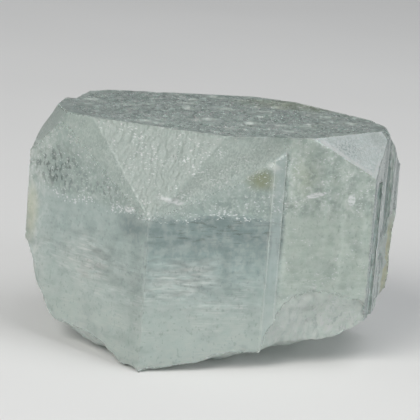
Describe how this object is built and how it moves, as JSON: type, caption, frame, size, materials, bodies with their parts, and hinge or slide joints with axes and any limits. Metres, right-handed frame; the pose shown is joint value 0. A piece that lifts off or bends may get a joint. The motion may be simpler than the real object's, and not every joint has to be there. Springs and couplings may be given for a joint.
{
  "type": "aquamarine crystal",
  "caption": "Short, stout hexagonal aquamarine crystal with an etched flat top, frosted bevels and a broken base.",
  "frame": {"origin": "middle of the bounding box, at the level of the patch of the base that the crystal rests on", "axes": "+Z along the crystal's c-axis, towards its flat top; +X along its greatest width; the broad front face looks towards -Y"},
  "size_m": [0.0296, 0.0252, 0.0184],
  "materials": {
    "aquamarine": "milky, frosted on the bevels, glossy on the right face"
  },
  "bodies": {
    "root": {"aquamarine_crystal": "aquamarine"}
  },
  "joints": []
}
